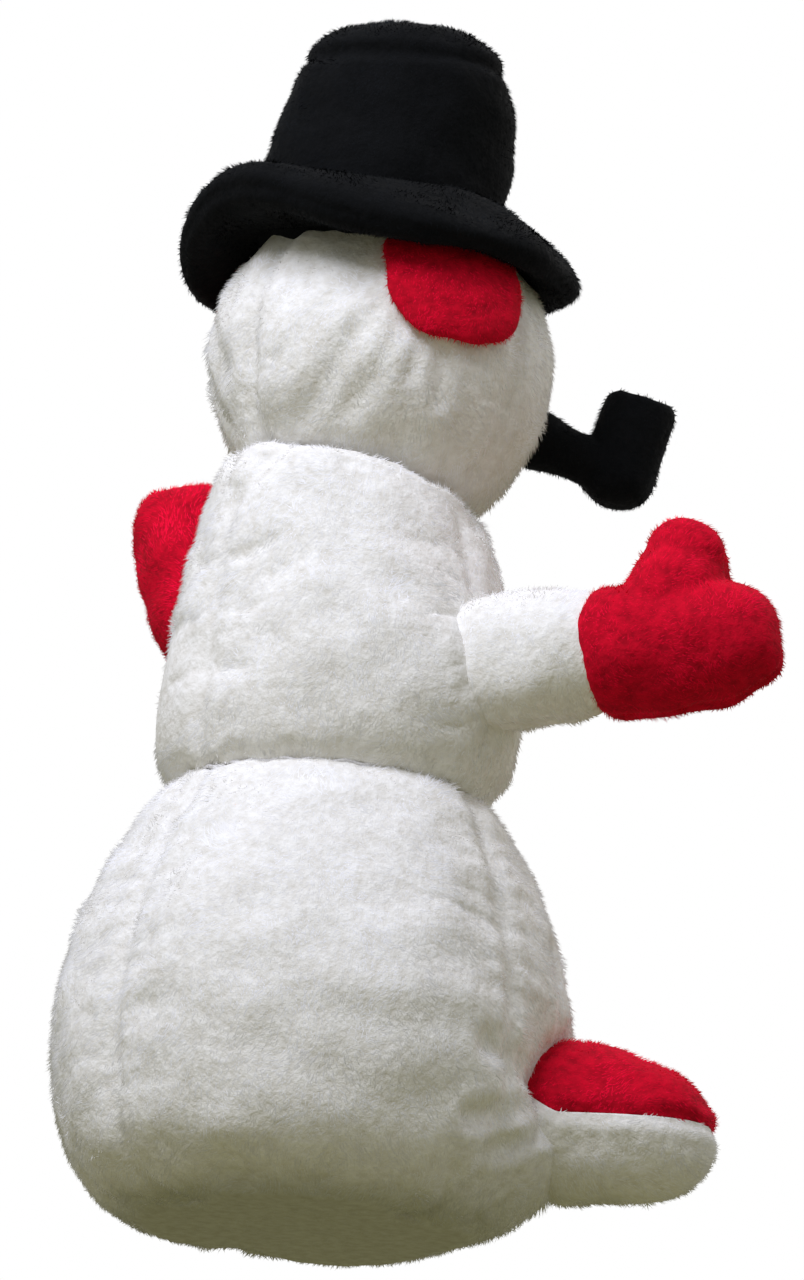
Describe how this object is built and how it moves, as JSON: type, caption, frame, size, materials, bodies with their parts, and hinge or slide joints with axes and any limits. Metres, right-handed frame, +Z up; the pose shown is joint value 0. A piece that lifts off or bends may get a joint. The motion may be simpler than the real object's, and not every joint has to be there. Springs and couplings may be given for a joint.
{
  "type": "plush snowman",
  "caption": "Giant seated plush snowman with a padded top hat, ear muffs, a pipe, red mittens and red feet; the head, arms, feet and pipe bend at their sewn seams.",
  "frame": {"origin": "middle of the flat base panel, on the floor", "axes": "+Z up through the head, -Y out of the face, -X towards the snowman's right hand"},
  "size_m": [0.6019, 0.4755, 0.9472],
  "materials": {
    "white_plush": "matte",
    "red_plush": "matte",
    "black_plush": "matte",
    "orange_plush": "matte",
    "wadding": "matte",
    "black_plastic": "gloss",
    "washer_plastic": "matte",
    "thread": "matte",
    "black_yarn": "matte"
  },
  "bodies": {
    "torso": {"base_panel": "white_plush", "belly_shell": "white_plush", "belly_stuffing": "wadding", "chest_shell": "white_plush", "chest_stuffing": "wadding", "waist_thread": "thread"},
    "neck": {"neck_wad": "wadding"},
    "head": {"head_shell": "white_plush", "head_stuffing": "wadding", "right_ear_muff": "red_plush", "left_ear_muff": "red_plush", "right_eye": "black_plastic", "left_eye": "black_plastic", "eye_washers": "washer_plastic", "nose_shell": "orange_plush", "nose_stuffing": "wadding", "mouth_stitching": "black_yarn", "hat_crown": "black_plush", "hat_top": "black_plush", "hat_crown_stuffing": "wadding", "hat_brim_upper": "black_plush", "hat_brim_lower": "black_plush", "hat_brim_pad": "wadding"},
    "pipe": {"pipe_stem": "black_plush", "pipe_bowl": "black_plush", "pipe_bowl_top": "black_plush", "pipe_stuffing": "wadding"},
    "right_shoulder": {"right_gusset": "white_plush"},
    "right_arm": {"right_sleeve": "white_plush", "right_arm_stuffing": "wadding", "right_mitten_palm": "red_plush", "right_mitten_back": "red_plush", "right_mitten_stuffing": "wadding"},
    "right_foot": {"right_foot_upper": "red_plush", "right_foot_sole": "white_plush", "right_foot_stuffing": "wadding"},
    "left_shoulder": {"left_gusset": "white_plush"},
    "left_arm": {"left_sleeve": "white_plush", "left_arm_stuffing": "wadding", "left_mitten_palm": "red_plush", "left_mitten_back": "red_plush", "left_mitten_stuffing": "wadding"},
    "left_foot": {"left_foot_upper": "red_plush", "left_foot_sole": "white_plush", "left_foot_stuffing": "wadding"}
  },
  "joints": [
    {"name": "head_nod", "type": "hinge", "parent": "torso", "child": "neck", "pos_m": [0, -0.004, 0.581], "axis": [1, 0, 0], "range_deg": [-8, 8], "stiffness_Nm_per_rad": 25},
    {"name": "head_turn", "type": "hinge", "parent": "neck", "child": "head", "pos_m": [0, -0.004, 0.581], "axis": [0, -0.1564, 0.9877], "range_deg": [-20, 20], "stiffness_Nm_per_rad": 8},
    {"name": "pipe_bend", "type": "hinge", "parent": "head", "child": "pipe", "pos_m": [-0.05003, -0.13926, 0.64169], "axis": [-0.9228, 0.3854, 0], "range_deg": [-12, 12], "stiffness_Nm_per_rad": 0.5},
    {"name": "right_arm_sweep", "type": "hinge", "parent": "torso", "child": "right_shoulder", "pos_m": [-0.14103, -0.03779, 0.428], "axis": [0, 0, 1], "range_deg": [-40, 12], "stiffness_Nm_per_rad": 4},
    {"name": "right_arm_raise", "type": "hinge", "parent": "right_shoulder", "child": "right_arm", "pos_m": [-0.14103, -0.03779, 0.428], "axis": [-0.6428, 0.766, 0], "range_deg": [-35, 30], "stiffness_Nm_per_rad": 4},
    {"name": "left_arm_sweep", "type": "hinge", "parent": "torso", "child": "left_shoulder", "pos_m": [0.14103, -0.03779, 0.428], "axis": [0, 0, -1], "range_deg": [-6, 35], "stiffness_Nm_per_rad": 4},
    {"name": "left_arm_raise", "type": "hinge", "parent": "left_shoulder", "child": "left_arm", "pos_m": [0.14103, -0.03779, 0.428], "axis": [0.2419, -0.9703, 0], "range_deg": [-80, 1], "stiffness_Nm_per_rad": 4},
    {"name": "right_foot_flex", "type": "hinge", "parent": "torso", "child": "right_foot", "pos_m": [-0.13383, -0.14863, 0.095], "axis": [-0.7431, 0.6691, 0], "range_deg": [-18, 20], "stiffness_Nm_per_rad": 2},
    {"name": "left_foot_flex", "type": "hinge", "parent": "torso", "child": "left_foot", "pos_m": [0.10598, -0.16961, 0.095], "axis": [-0.848, -0.5299, 0], "range_deg": [-18, 20], "stiffness_Nm_per_rad": 2}
  ]
}
